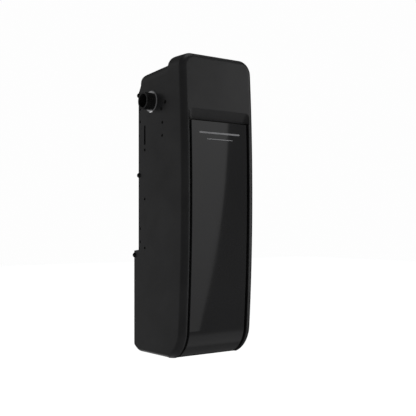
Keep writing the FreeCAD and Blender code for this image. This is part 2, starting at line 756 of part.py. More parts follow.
def coil(radius, wire_r, pitch, turns):
    """Helical spring along +Z from the origin, as short straight runs of wire joined by mitres."""
    steps = round(turns * COIL_STEPS)
    points = []
    for step in range(steps + 1):
        angle = 2 * math.pi * step / COIL_STEPS
        points.append(Vector(radius * math.cos(angle), radius * math.sin(angle), pitch * step / COIL_STEPS))
    section = Part.Wire([Part.makeCircle(wire_r, points[0], points[1] - points[0])])
    return Part.makePolygon(points).makePipeShell([section], True, False, 1)


def clutch_spring():
    """Spring round the shaft that pushes the clutch into the wheel."""
    spring = coil(18.3, 0.7, 4.0, 4.6)
    spring.rotate(Vector(0, 0, 0), Vector(0, 1, 0), 90)
    spring.translate(Vector(-DOG_LONG - 19.2, 0, 0))
    return spring


def worm():
    """Single-start right-hand worm, bored for the motor shaft."""
    pitch = math.pi * GEAR_MODULE
    turns = 7.5
    start = -turns / 2 * pitch
    lean = math.tan(math.radians(20))
    root_r, tip_r = WORM_R - 1.25 * GEAR_MODULE, WORM_R + GEAR_MODULE
    half = TOOTH_SHARE * pitch / 2
    foot = half + (WORM_R - root_r + 0.3) * lean
    crest = half - GEAR_MODULE * lean
    profile = Part.makePolygon([
        Vector(root_r - 0.3, 0, -foot), Vector(tip_r, 0, -crest), Vector(tip_r, 0, crest),
        Vector(root_r - 0.3, 0, foot), Vector(root_r - 0.3, 0, -foot),
    ])
    path = Part.Wire([Part.makeHelix(pitch, pitch * turns, WORM_R)])
    thread = path.makePipeShell([profile], True, True)
    thread.translate(Vector(0, 0, start))
    core = z_rod(root_r, 0, 0, -27.5, 27.5)
    solid = core.fuse(thread).cut(z_rod(MOTOR_SHAFT_R, 0, 0, -28, 28))
    solid.translate(Vector(WHEEL_X, WORM_Y, 0))
    return solid


def hub_bushes():
    """Bushes that carry the wheel's hub in the gearbox."""
    left = WHEEL_X - 15
    return group([x_ring(HUB_R + 2.5, HUB_R + RUNNING, x, x + 6) for x in (left, WHEEL_X + 8.5)])


def worm_bushes():
    """Bushes above and below the worm."""
    places = ((28.0, 34.0), (-34.0, -28.0))
    return group([motor_ring(8.0, MOTOR_SHAFT_R + RUNNING, z0, z1) for z0, z1 in places])


GEARBOX_LUGS = ((27.0, 31.0), (27.0, -31.0), (-50.0, 41.0), (-22.0, 41.0))
GEARBOX_LUG_R = 6.5
GEARBOX_BOTTOM = -38.5


def gearbox_half(side):
    """Half of the gearbox, split through the middle of the wheel; side is -1 for left and 1 for right."""
    case_r = WHEEL_PITCH_R + GEAR_MODULE + 4
    x0, x1 = WHEEL_X - 15, WHEEL_X + 15
    outer = x_rod(case_r, x0, x1).fuse(box(x0, x1, WORM_Y - 15, -26, GEARBOX_BOTTOM, 36.5))
    lugs = [x_rod(GEARBOX_LUG_R, x0 + 4, x1 - 4, y, z) for y, z in GEARBOX_LUGS]
    lugs += [box(x0 + 4, x1 - 4, -54.5, -17.5, 30, 38)]
    outer = outer.fuse(lugs)
    hollow = x_rod(case_r - CASE_WALL, x0 + CASE_WALL, x1 - CASE_WALL)
    hollow = hollow.fuse(z_rod(12.4, WHEEL_X, WORM_Y, -28, 28))
    cuts = [
        hollow,
        x_rod(HUB_R + 2.5, x0 - 1, x1 + 1),
        z_rod(8.0, WHEEL_X, WORM_Y, GEARBOX_BOTTOM - 1, 34.0),
    ]
    boss_span = (x0, x0 + 6) if side < 0 else (x1 - 6.5, x1)
    boss = x_ring(HUB_R + 5, HUB_R + 2.5, *boss_span)
    cuts += [x_rod(1.6, x0, x1, y, z) for y, z in GEARBOX_LUGS]
    half = outer.cut(cuts).fuse(boss)
    keep0, keep1 = sorted((WHEEL_X, WHEEL_X + side * 40))
    return half.common(box(keep0, keep1, -90, 90, -90, 90)).removeSplitter()


def gearbox_screws():
    """Screws that hold the gearbox halves together."""
    places = [Vector(WHEEL_X - 11, y, z) for y, z in GEARBOX_LUGS]
    return group([pan_head_screw(3.0, 1.8, 1.6, 18.0, place, (1, 0, 0)) for place in places])


# ---------------------------------------------------------------- release lever
PIVOT_Z = -LEVER_ARM
PIVOT_SPAN = 27.0


def release_lever():
    """Fork that straddles the clutch and the arm that the release rope pulls down."""
    hub = y_rod(5.0, FORK_X, PIVOT_Z, -PIVOT_SPAN, PIVOT_SPAN)
    tines = []
    for y0, y1, pin in ((-26.5, -23.5, (-24.0, -19.2)), (23.5, 26.5, (19.2, 24.0))):
        tines.append(box(FORK_X - 3, FORK_X + 3, y0, y1, PIVOT_Z, 3))
        tines.append(y_rod(FORK_PIN_R, FORK_X, 0, *pin))
    arm = box(ROPE_X - 4, FORK_X, -3, 3, PIVOT_Z - 3, PIVOT_Z + 3)
    eye = z_rod(5.0, ROPE_X - 4, 0, PIVOT_Z - 3, PIVOT_Z + 3)
    lever = fuse([hub, arm, eye] + tines)
    bores = [
        y_rod(PIVOT_R + RUNNING, FORK_X, PIVOT_Z, -PIVOT_SPAN - 1, PIVOT_SPAN + 1),
        z_rod(2.2, ROPE_X - 4, 0, PIVOT_Z - 4, PIVOT_Z + 4),
    ]
    return lever.cut(bores)


def release_pivot_pin():
    """Pin on which the release lever turns."""
    return y_rod(PIVOT_R, FORK_X, PIVOT_Z, -31.0, 31.0)


def release_bracket():
    """Sheet bracket with two ears, fixed to the back plate."""
    rear = back(MID_DEPTH - WALL - 2.2)
    ears = [box(FORK_X - 4, FORK_X + 4, y, y + 3, PIVOT_Z - 26, PIVOT_Z + 6) for y in (-30.5, 27.5)]
    base = box(FORK_X - 4, FORK_X + 4, -30.5, rear, PIVOT_Z - 26, PIVOT_Z - 22)
    tongue = box(FORK_X - 20, FORK_X, -6, 6, PIVOT_Z - 26, PIVOT_Z - 22)
    bracket = fuse([base, tongue] + ears)
    return bracket.cut(y_rod(PIVOT_R, FORK_X, PIVOT_Z, -32, 32))


def release_spring():
    """Compression spring that pushes the release arm back up."""
    spring = coil(4.0, 0.6, 3.2, 5.5)
    spring.translate(Vector(FORK_X - 14, 0, PIVOT_Z - 21.2))
    return spring


def rope_bush():
    """Bush in the floor of the case through which the release rope leaves."""
    return ring(ROPE_BUSH_R + 3.5, ROPE_BUSH_R, Vector(ROPE_X, 0, up(0)), Vector(ROPE_X, 0, up(8)))


# ---------------------------------------------------------------- motor
MOTOR_Z1 = GEARBOX_BOTTOM - 3.0
MOTOR_Z0 = MOTOR_Z1 - MOTOR_LONG


def motor_ring(outer, inner, z0, z1):
    """Ring round the motor's axis."""
    return ring(outer, inner, Vector(WHEEL_X, WORM_Y, z0), Vector(WHEEL_X, WORM_Y, z1))


def motor_can():
    """Drawn steel can with a closed lower end."""
    can = motor_ring(MOTOR_R, MOTOR_R - 2, MOTOR_Z0, MOTOR_Z1)
    floor = z_rod(MOTOR_R, WHEEL_X, WORM_Y, MOTOR_Z0, MOTOR_Z0 + 2)
    seat = motor_ring(9.0, MOTOR_SHAFT_R + RUNNING, MOTOR_Z0 + 2, MOTOR_Z0 + 9)
    return fuse([can, floor, seat])


def motor_magnets():
    """Two arc magnets inside the can."""
    pieces = motor_ring(MOTOR_R - 2, MOTOR_R - 7, MOTOR_Z0 + 18, MOTOR_Z0 + 88)
    gap = box(WHEEL_X - 40, WHEEL_X + 40, WORM_Y - 8, WORM_Y + 8, MOTOR_Z0, MOTOR_Z1)
    return pieces.cut(gap)


def motor_armature():
    """Shaft with its slotted core and commutator."""
    core = z_rod(MOTOR_R - 8, WHEEL_X, WORM_Y, MOTOR_Z0 + 22, MOTOR_Z0 + 84)
    slots = []
    for step in range(12):
        slot = box(MOTOR_R - 16, MOTOR_R - 6, -1.2, 1.2, MOTOR_Z0 + 20, MOTOR_Z0 + 86)
        slot.rotate(Vector(0, 0, 0), Vector(0, 0, 1), step * 30)
        slot.translate(Vector(WHEEL_X, WORM_Y, 0))
        slots.append(slot)
    core = core.cut(slots)
    commutator = z_rod(10.0, WHEEL_X, WORM_Y, MOTOR_Z0 + 92, MOTOR_Z0 + 106)
    shaft = z_rod(MOTOR_SHAFT_R, WHEEL_X, WORM_Y, MOTOR_Z0 + 3, 33.5)
    return fuse([core, commutator, shaft])


def motor_end_plate():
    """Upper end plate of the motor, under the gearbox."""
    return motor_ring(MOTOR_R, 8.0, MOTOR_Z1, GEARBOX_BOTTOM)


def brush_plate():
    """Insulating ring that holds the brushes."""
    return motor_ring(MOTOR_R - 2, 12.0, MOTOR_Z0 + 108, MOTOR_Z0 + 111)


def motor_brushes():
    """Two carbon brushes beside the commutator."""
    z0, z1 = MOTOR_Z0 + 95, MOTOR_Z0 + 103
    return group([
        box(WHEEL_X + x, WHEEL_X + x + 12, WORM_Y - 3, WORM_Y + 3, z0, z1) for x in (10.3, -22.3)
    ])


# ---------------------------------------------------------------- back plate and inserts
def back_plate():
    """Steel plate inside the rear wall that stiffens the case."""
    plate = case_box(-70, 70, MID_DEPTH - WALL - 2.2, MID_DEPTH - WALL - 0.2, 200, 486)
    cuts = []
    for x in (-INSERT_X, INSERT_X):
        for height in INSERT_HEIGHTS:
            cuts.append(y_rod(4.5, x, up(height), back(MID_DEPTH - 8), back(MID_DEPTH)))
    for height in (280.0, 340.0, 400.0):
        cuts.append(case_box(-20, 20, MID_DEPTH - 8, MID_DEPTH, height - 6, height + 6))
    return plate.cut(cuts)


def bracket_inserts():
    """Threaded inserts in the rear wall for a wall bracket."""
    rings = []
    for x in (-INSERT_X, INSERT_X):
        for height in INSERT_HEIGHTS:
            ends = [Vector(x, back(depth), up(height)) for depth in (MID_DEPTH - 8, MID_DEPTH)]
            rings.append(ring(4.5, INSERT_BORE_R, *ends))
    return group(rings)


# ---------------------------------------------------------------- electrics behind the panel
FASCIA = (17.4, 19.9)
FASCIA_CORNERS = [(x, height) for x in (-44.0, 44.0) for height in (181.0, 284.0)]
ROUND_BUTTONS = {"learn_button": -34.0, "set_button": -16.0}
WIDE_BUTTONS = {"down_button": 6.0, "up_button": 28.0}
BUTTON_HEIGHT = 268.0
BUTTON_FACE = 14.6
WIDE_HALF = (8.0, 5.0)
LIGHTS = (-10.0, 0.0, 10.0)
LIGHT_HEIGHT = 246.0
TERMINAL = (-36.0, 36.0, 190.0, 210.0)
TERMINAL_COUNT = 8


def round_cap(radius, x, height, depth0, depth1):
    """Round bar towards the front at a place on the fascia."""
    return y_rod(radius, x, up(height), back(depth0), back(depth1))


def wide_block(x, grow, depth0, depth1):
    """Block with rounded corners for a wide button or its opening."""
    half_x, half_z = WIDE_HALF[0] + grow, WIDE_HALF[1] + grow
    corners = ((-half_x, -half_z), (half_x, -half_z), (half_x, half_z), (-half_x, half_z))
    points = [at(depth0, BUTTON_HEIGHT + z, x + dx) for dx, z in corners]
    return Part.Face(rounded_wire(points, [1.5 + grow] * 4)).extrude(Vector(0, depth1 - depth0, 0))


def terminal_places():
    """X of each terminal."""
    step = (TERMINAL[1] - TERMINAL[0]) / TERMINAL_COUNT
    return [TERMINAL[0] + step * (index + 0.5) for index in range(TERMINAL_COUNT)]


def control_fascia():
    """Plate behind the recess that frames the buttons, lights and terminals."""
    plate = case_box(-52, 52, FASCIA[0], FASCIA[1], 172, 293)
    cuts = [round_cap(BUTTON_R + 0.3, x, BUTTON_HEIGHT, 10, 25) for x in ROUND_BUTTONS.values()]
    cuts += [wide_block(x, 0.3, 10, 25) for x in WIDE_BUTTONS.values()]
    cuts += [round_cap(1.8, x, LIGHT_HEIGHT, 10, 25) for x in LIGHTS]
    cuts += [round_cap(1.5, x, height, 10, 25) for x, height in FASCIA_CORNERS]
    cuts.append(case_box(TERMINAL[0], TERMINAL[1], 10, 25, TERMINAL[2], TERMINAL[3]))
    plate = plate.cut(cuts)
    well = case_box(-40, 42, FASCIA[0] - 1, FASCIA[0] + 0.8, 258, 278)
    return plate.cut(well)


def round_button(x):
    """Round push button with its stem."""
    cap = round_cap(BUTTON_R, x, BUTTON_HEIGHT, BUTTON_FACE, BUTTON_FACE + 7)
    rim = [e for e in cap.Edges if e.CenterOfMass.y < back(BUTTON_FACE) + 0.1 and e.Length > 5]
    stem = round_cap(1.6, x, BUTTON_HEIGHT, BUTTON_FACE + 6, BOARD_DEPTH - 4.9)
    return fuse([cap.makeFillet(0.8, rim), stem])


def wide_button(x):
    """Wide push button with its stem."""
    cap = wide_block(x, 0, BUTTON_FACE, BUTTON_FACE + 7)
    rim = [e for e in cap.Edges if abs(e.BoundBox.YMax - back(BUTTON_FACE)) < 0.1]
    stem = round_cap(1.6, x, BUTTON_HEIGHT, BUTTON_FACE + 6, BOARD_DEPTH - 4.9)
    return fuse([cap.makeFillet(0.6, rim), stem])


def button_switches():
    """Small switches on the logic board, one behind each button."""
    switches = []
    for x in list(ROUND_BUTTONS.values()) + list(WIDE_BUTTONS.values()):
        body = case_box(x - 3, x + 3, BOARD_DEPTH - 3, BOARD_DEPTH, BUTTON_HEIGHT - 3, BUTTON_HEIGHT + 3)
        switches.append(body.fuse(round_cap(1.7, x, BUTTON_HEIGHT, BOARD_DEPTH - 3.5, BOARD_DEPTH - 3)))
    return group(switches)


def status_lights():
    """Domed indicator lamps."""
    lamps = []
    for x in LIGHTS:
        body = round_cap(1.7, x, LIGHT_HEIGHT, FASCIA[0] - 0.6, BOARD_DEPTH)
        dome = Part.makeSphere(1.7, at(FASCIA[0] - 0.6, LIGHT_HEIGHT, x))
        lamps.append(body.fuse(dome).removeSplitter())
    return group(lamps)


def logic_board():
    """Printed circuit board behind the fascia."""
    rear = BOARD_DEPTH + BOARD_THICK
    board = case_box(-52, 52, BOARD_DEPTH, rear, 172, 293)
    relays = [case_box(x, x + 18, rear, rear + 15, 180, 202) for x in (-30, 6)]
    drums = [round_cap(6.0, x, 226, rear, BOARD_DEPTH + 22) for x in (-34, -18, 24)]
    return fuse([board] + relays + drums)


def board_standoffs():
    """Pillars between the fascia and the board."""
    pillars = []
    for x, height in FASCIA_CORNERS:
        ends = [at(depth, height, x) for depth in (FASCIA[1], BOARD_DEPTH)]
        pillars.append(ring(3.0, 1.5, *ends))
    return group(pillars)


def fascia_screws():
    """Screws at the fascia's corners."""
    places = [at(FASCIA[0], height, x) for x, height in FASCIA_CORNERS]
    return group([pan_head_screw(2.8, 1.4, 1.5, 9.0, place, (0, 1, 0)) for place in places])


def terminal_block():
    """Row of wire terminals that shows through the fascia."""
    x0, x1, height0, height1 = TERMINAL
    block = case_box(x0 + 0.2, x1 - 0.2, 15, BOARD_DEPTH, height0 + 0.2, height1 - 0.2)
    cuts = []
    for x in terminal_places():
        cuts.append(round_cap(2.6, x, height1 - 6, 14, 17.5))
        cuts.append(case_box(x - 1.8, x + 1.8, 14, 26, height0 + 2.4, height0 + 6))
    return block.cut(cuts)


def terminal_screws():
    """Clamp screws of the terminals."""
    screws = []
    for x in terminal_places():
        screw = round_cap(2.5, x, TERMINAL[3] - 6, 15.6, 17.5)
        screws.append(screw.cut(case_box(x - 3, x + 3, 15, 16.3, TERMINAL[3] - 6.4, TERMINAL[3] - 5.6)))
    return group(screws)


# ---------------------------------------------------------------- battery and supply
TRAY = (-53.0, 53.0, 28.0, 104.0, 38.0, 154.0)
BATTERY = (-46.0, 46.0, 34.0, 99.0, 42.0, 142.0)


def battery_tray():
    """Open-fronted box for the reserve battery."""
    x0, x1, d0, d1, h0, h1 = TRAY
    tray = case_box(x0, x1, d0, d1, h0, h1)
    tray = tray.cut(case_box(x0 + 2, x1 - 2, d0 - 1, d1 - 2, h0 + 2, h1 - 2))
    feet = [case_box(x, x + 10, d1, 120, WALL, 60) for x in (x0, x1 - 10)]
    posts = [case_box(x, x + 10, d1 - 2, 120, WALL, h0 + 10) for x in (x0, x1 - 10)]
    return fuse([tray] + feet + posts)


def battery():
    """Sealed reserve battery with rounded edges."""
    x0, x1, d0, d1, h0, h1 = BATTERY
    block = case_box(x0, x1, d0, d1, h0 - 2, h1)
    return block.makeFillet(2.5, [e for e in block.Edges if along(e, Vector(0, 0, 1))])


def battery_terminals():
    """Blade terminals on the battery's top."""
    height = BATTERY[5]
    return group([case_box(x - 3.2, x + 3.2, 44, 44.8, height, height + 6.5) for x in (-30, 30)])


def battery_strap():
    """Strap across the front of the battery, held by the tray's sides."""
    x0, x1 = TRAY[0] + 2, TRAY[1] - 2
    return case_box(x0, x1, 31.5, 33.8, 84, 100)


def transformer():
    """Supply transformer: laminated frame on two posts."""
    frame = case_box(-28, 28, 112, 152, 24, 74)
    posts = [case_box(x, x + 8, 120, 144, WALL, 24) for x in (-28, 20)]
    frame = fuse([frame] + posts)
    return frame.cut([case_box(-18, -9, 110, 160, 34, 64), case_box(9, 18, 110, 160, 34, 64)])


def transformer_coil():
    """Winding round the transformer's middle limb."""
    block = case_box(-17.8, 17.8, 108, 156, 34.2, 63.8)
    return block.cut(case_box(-9, 9, 111.9, 152.1, 30, 70))


def cord_gland():
    """Gland in the floor of the case for the supply cord."""
    ends = [at(CORD_DEPTH, height, CORD_X) for height in (0, 12)]
    flange = [at(CORD_DEPTH, height, CORD_X) for height in (WALL, 6)]
    return ring(CORD_R + 4, CORD_R, *ends).fuse(ring(CORD_R + 7, CORD_R, *flange)).removeSplitter()


# ---------------------------------------------------------------- all nodes
def all_nodes():
    """Every node's name and shape."""
    nodes = {
        "front_cover": front_cover(),
        "rear_housing": rear_housing(),
        "access_panel": access_panel(),
        "panel_inlays": group(inlay_blocks()),
        "panel_hinge_pins": hinge_pins(),
        "panel_magnets": panel_magnets(),
        "bracket_screws": bracket_screws(),
        "side_screws": side_screws(),
        "bearing_plates": bearing_plates(),
        "plate_screws": plate_screws(),
        "shaft_bushes": shaft_bushes(),
        "output_shaft": output_shaft(),
        "shaft_rings": shaft_rings(),
        "shaft_keys": group(key_block(0)),
        "collar_set_screws": collar_set_screws(),
        "encoder_drive_gear": encoder_drive_gear(),
        "encoder_gear": encoder_gear(),
        "encoder_pin": encoder_pin(),
        "encoder_bracket": encoder_bracket(),
        "worm_wheel": worm_wheel(),
        "hub_bushes": hub_bushes(),
        "worm": worm(),
        "worm_bushes": worm_bushes(),
        "gearbox_left": gearbox_half(-1),
        "gearbox_right": gearbox_half(1),
        "gearbox_screws": gearbox_screws(),
        "clutch_dog": clutch_dog(),
        "clutch_spring": clutch_spring(),
        "release_lever": release_lever(),
        "release_pivot_pin": release_pivot_pin(),
        "release_bracket": release_bracket(),
        "release_spring": release_spring(),
        "rope_bush": rope_bush(),
        "motor_can": motor_can(),
        "motor_magnets": motor_magnets(),
        "motor_armature": motor_armature(),
        "motor_end_plate": motor_end_plate(),
        "brush_plate": brush_plate(),
        "motor_brushes": motor_brushes(),
        "back_plate": back_plate(),
        "bracket_inserts": bracket_inserts(),
        "control_fascia": control_fascia(),
        "fascia_screws": fascia_screws(),
        "logic_board": logic_board(),
        "board_standoffs": board_standoffs(),
        "button_switches": button_switches(),
        "status_lights": status_lights(),
        "terminal_block": terminal_block(),
        "terminal_screws": terminal_screws(),
        "battery_tray": battery_tray(),
        "battery": battery(),
        "battery_terminals": battery_terminals(),
        "battery_strap": battery_strap(),
        "transformer": transformer(),
        "transformer_coil": transformer_coil(),
        "cord_gland": cord_gland(),
    }
    for name, x in ROUND_BUTTONS.items():
        nodes[name] = round_button(x)
    for name, x in WIDE_BUTTONS.items():
        nodes[name] = wide_button(x)
    return nodes


def main():
    """Write one STEP file for each node."""
    os.makedirs("parts", exist_ok=True)
    for name, shape in all_nodes().items():
        shape.exportStep(os.path.join("parts", name + ".step"))
        print(name, len(shape.Solids), shape.isValid(), round(shape.Volume))


if __name__ == "__main__":
    main()
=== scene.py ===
"""Looks of a wall-mounted garage door opener: camera, studio light, and a material for every piece."""
import math

import bpy
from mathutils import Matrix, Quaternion, Vector


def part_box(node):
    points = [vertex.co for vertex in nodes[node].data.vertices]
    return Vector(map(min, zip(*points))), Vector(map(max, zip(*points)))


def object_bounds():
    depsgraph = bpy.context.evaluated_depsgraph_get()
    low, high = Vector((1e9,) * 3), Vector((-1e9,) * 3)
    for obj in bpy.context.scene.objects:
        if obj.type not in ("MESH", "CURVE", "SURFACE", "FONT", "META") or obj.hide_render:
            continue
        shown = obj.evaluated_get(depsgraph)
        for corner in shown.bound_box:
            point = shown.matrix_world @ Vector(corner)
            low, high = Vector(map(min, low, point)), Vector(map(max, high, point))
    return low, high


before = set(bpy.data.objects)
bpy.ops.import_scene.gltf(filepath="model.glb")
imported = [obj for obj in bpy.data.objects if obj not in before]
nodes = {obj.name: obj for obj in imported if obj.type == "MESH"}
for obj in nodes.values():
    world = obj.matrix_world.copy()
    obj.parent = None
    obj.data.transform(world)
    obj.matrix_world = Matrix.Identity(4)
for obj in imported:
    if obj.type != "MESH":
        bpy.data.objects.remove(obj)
cad_low, cad_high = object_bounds()

# ---------------------------------------------------------------- camera and floor, metres
CAMERA_PLACE = (-0.8924, -1.2376, -0.2332)
CAMERA_YAW = math.radians(37.33)
CAMERA_LENS = 68.445
CAMERA_SHIFT = 0.0445
CAMERA_REACH = 50.0
FLOOR_DROP = 0.30
FLOOR_HALF = 9.0
FLOOR_GLOW = 0.725

# ---------------------------------------------------------------- light, with 1 as pure white
BACKGROUND = 0.985
FILL = 0.34
# room that the gloss mirrors: its radiance, and half the width of its lights' soft borders, as sines
ROOM_DIM = 0.085
SIDE_SOFT = 0.03
LEVEL_SOFT = 0.08
# upright lights of the room: two directions, lowest and highest sine of elevation, radiance
WEDGES = (
    (43.0, 62.0, -0.27, 0.50, 1.35),
    (181.0, 220.0, -0.27, 0.50, 0.19),
    (136.0, 172.0, -0.38, 0.12, 0.50),
    (152.0, 205.0, -0.90, -0.38, 1.00),
)
# round light of the room: direction, elevation, half width, radiance
GLOW = (54.0, -39.0, 16.0, 0.19)
GLOW_SOFT = math.radians(8)
# strip that the panel mirrors; its right edge is STRIP_EDGE past the line out of the panel's middle
STRIP_RADIANCE = 0.145
STRIP_SPREAD = math.radians(90)
STRIP_DISTANCE = 2.0
STRIP_TURN = math.radians(38.2)
STRIP_ROLL = math.radians(-4.43)
STRIP_NOD = math.tan(math.radians(-15))
STRIP_SIZE = (0.22, 1.68)
STRIP_RISE = 0.012
STRIP_EDGE = 0.0056
OVERHEAD_PLACE = (0.3, -0.4, 2.4)
OVERHEAD_SIZE = (1.8, 1.8)
OVERHEAD_RADIANCE = 0.9

# ---------------------------------------------------------------- surfaces
CASE_BLACK = (0.0085, 0.0085, 0.0090)
ZINC = (0.62, 0.63, 0.64)
STEEL = (0.50, 0.50, 0.51)
BRONZE = (0.62, 0.42, 0.20)
CAST = (0.60, 0.61, 0.62)
ACETAL = (0.72, 0.71, 0.67)
GLOSS_ROUGHNESS = 0.035
EDGE_WEAR = 0.25
STAIN = 0.12
FINE_RELIEF = 0.00001
# cosines between the true normal and the rounded one: on a flat, and where an edge counts in full
FLAT_COSINE = 0.995
EDGE_COSINE = 0.80
# a wave texture's bands are this far apart when its scale is 1
WAVE_PERIOD = 0.31


def turned(angle, elevation=0.0):
    """Unit vector at an angle from -Y towards +X."""
    flat = math.cos(elevation)
    return Vector((math.sin(angle) * flat, -math.cos(angle) * flat, math.sin(elevation)))


# ---------------------------------------------------------------- node helpers
class Tree:
    """A node tree with short ways to add and join nodes."""

    def __init__(self, owner):
        owner.use_nodes = True
        self.tree = owner.node_tree

    def add(self, kind, **settings):
        """New node; settings are its attributes."""
        node = self.tree.nodes.new(kind)
        for key, value in settings.items():
            setattr(node, key, value)
        return node

    def feed(self, value, target):
        """Give an input a constant or another node's output."""
        if isinstance(value, bpy.types.NodeSocket):
            self.tree.links.new(value, target)
        else:
            target.default_value = value

    def ranged(self, value, low, high, to_low=0.0, to_high=1.0, shape="LINEAR"):
        """A value moved from one range to another, and held at its ends."""
        node = self.add("ShaderNodeMapRange", interpolation_type=shape)
        for key, number in (("From Min", low), ("From Max", high), ("To Min", to_low), ("To Max", to_high)):
            node.inputs[key].default_value = number
        self.feed(value, node.inputs["Value"])
        return node.outputs["Result"]

    def combine(self, operation, first, second):
        """Arithmetic on two values; each is a number or an output."""
        node = self.add("ShaderNodeMath", operation=operation)
        self.feed(first, node.inputs[0])
        self.feed(second, node.inputs[1])
        return node.outputs[0]

    def cosine(self, first, second):
        """Dot product of two unit vectors; each is a vector or an output."""
        node = self.add("ShaderNodeVectorMath", operation="DOT_PRODUCT")
        self.feed(first, node.inputs[0])
        self.feed(second, node.inputs[1])
        return node.outputs["Value"]


class Shader(Tree):
    """A material about one Principled shader, with the patterns that the materials share."""

    def __init__(self, name):
        self.material = bpy.data.materials.new(name)
        super().__init__(self.material)
        self.bsdf = self.tree.nodes["Principled BSDF"]
        self.coords = self.add("ShaderNodeTexCoord").outputs["Object"]

    def set(self, **values):
        """Constants or outputs on the Principled shader; an underscore stands for a space in a name."""
        for key, value in values.items():
            self.feed(value, self.bsdf.inputs[key.replace("_", " ")])

    def noise(self, scale, detail=3.0, roughness=0.55, stretch=None):
        """Noise between about 0.3 and 0.7, scale in cells per metre; stretch multiplies each axis."""
        node = self.add("ShaderNodeTexNoise")
        for key, number in (("Scale", scale), ("Detail", detail), ("Roughness", roughness)):
            node.inputs[key].default_value = number
        coords = self.coords
        if stretch:
            mapping = self.add("ShaderNodeMapping")
            mapping.inputs["Scale"].default_value = stretch
            self.feed(self.coords, mapping.inputs["Vector"])
            coords = mapping.outputs["Vector"]
        self.feed(coords, node.inputs["Vector"])
        return node.outputs["Fac"]

    def mottle(self, scale, detail=3.0, low=0.3, high=0.7, to_low=0.0, to_high=1.0):
        """Noise whose values from low to high are spread over another range."""
        return self.ranged(self.noise(scale, detail), low, high, to_low, to_high)

    def cells(self, scale):
        """Distance to the nearest cell of a Voronoi pattern."""
        node = self.add("ShaderNodeTexVoronoi")
        node.inputs["Scale"].default_value = scale
        self.feed(self.coords, node.inputs["Vector"])
        return node.outputs["Distance"]

    def bands(self, scale, axis, distortion=0.0):
        """Saw-toothed bands across one axis."""
        node = self.add("ShaderNodeTexWave", wave_type="BANDS", bands_direction=axis, wave_profile="SAW")
        node.inputs["Scale"].default_value = scale
        node.inputs["Distortion"].default_value = distortion
        self.feed(self.coords, node.inputs["Vector"])
        return node.outputs["Fac"]

    def mix(self, factor, first, second):
        """Colour between two; each is a colour or an output."""
        node = self.add("ShaderNodeMix", data_type="RGBA")
        self.feed(factor, node.inputs["Factor"])
        # a Mix node has a pair of inputs for each data type, and 6 and 7 are its colours
        for slot, value in ((6, first), (7, second)):
            is_output = isinstance(value, bpy.types.NodeSocket)
            self.feed(value if is_output else (*value, 1.0), node.inputs[slot])
        return node.outputs[2]

    def bump(self, height, distance, strength):
        """Relief of a depth in metres, added to any that is there already."""
        node = self.add("ShaderNodeBump")
        node.inputs["Strength"].default_value = strength
        node.inputs["Distance"].default_value = distance
        self.feed(height, node.inputs["Height"])
        target = self.bsdf.inputs["Normal"]
        if target.is_linked:
            self.feed(target.links[0].from_socket, node.inputs["Normal"])
        self.feed(node.outputs["Normal"], target)

    def edges(self, radius):
        """About 1 along convex and concave edges and 0 on flats, within a radius in metres."""
        rounded = self.add("ShaderNodeBevel", samples=4)
        rounded.inputs["Radius"].default_value = radius
        true = self.add("ShaderNodeNewGeometry")
        cosine = self.cosine(rounded.outputs["Normal"], true.outputs["Normal"])
        return self.ranged(cosine, FLAT_COSINE, EDGE_COSINE)


# ---------------------------------------------------------------- materials
def grained_plastic(name, colour, roughness, grain=1500.0, depth=0.00004):
    """Moulded plastic with a spark-eroded grain, mottled, and rubbed lighter and smoother at its edges."""
    s = Shader(name)
    lighter = [c * 1.35 + 0.002 for c in colour]
    rubbed = [min(1.0, c * 1.9 + 0.006) for c in colour]
    rub = s.combine("MULTIPLY", s.edges(0.0006), s.mottle(60.0, 4.0, 0.42, 0.62))
    tone = s.mix(s.mottle(14.0, 4.0), colour, lighter)
    s.set(Base_Color=s.mix(s.combine("MULTIPLY", rub, EDGE_WEAR), tone, rubbed))
    rough = s.mottle(35.0, 5.0, to_low=roughness - 0.03, to_high=roughness + 0.03)
    s.set(Roughness=s.combine("SUBTRACT", rough, s.combine("MULTIPLY", rub, 0.10)))
    s.bump(s.cells(grain), depth, 0.6)
    s.bump(s.noise(grain * 0.6, 2.0), depth, 0.5)
    return s.material


def polished_plastic(name, colour):
    """High-gloss moulding: nearly a mirror, with faint wipe marks that only show in the gloss."""
    s = Shader(name)
    s.set(Base_Color=s.mix(s.mottle(6.0), colour, [c * 1.2 for c in colour]))
    wipes = s.noise(3.0, 6.0, 0.6, stretch=(9.0, 9.0, 1.6))
    smear = s.ranged(wipes, 0.45, 0.72, GLOSS_ROUGHNESS, GLOSS_ROUGHNESS + 0.02)
    dust = s.ranged(s.cells(900.0), 0.02, 0.07, 1.0, 0.0)
    s.set(Roughness=s.combine("ADD", smear, s.combine("MULTIPLY", dust, 0.05)))
    return s.material


def plain_metal(name, colour, roughness, streak=(1.0, 1.0, 1.0), scale=220.0):
    """Bare or plated metal with fine tool marks along one direction and a little staining."""
    s = Shader(name)
    marks = s.noise(scale, 3.0, 0.7, stretch=streak)
    blotch = s.mottle(26.0, 4.0, 0.35, 0.7)
    rough = s.ranged(marks, 0.3, 0.7, roughness * 0.8, roughness * 1.25)
    s.set(
        Metallic=1.0,
        Base_Color=s.mix(blotch, colour, [c * (1.0 - STAIN) for c in colour]),
        Roughness=s.combine("ADD", rough, s.combine("MULTIPLY", blotch, 0.05)),
    )
    s.bump(marks, FINE_RELIEF, 0.5)
    return s.material


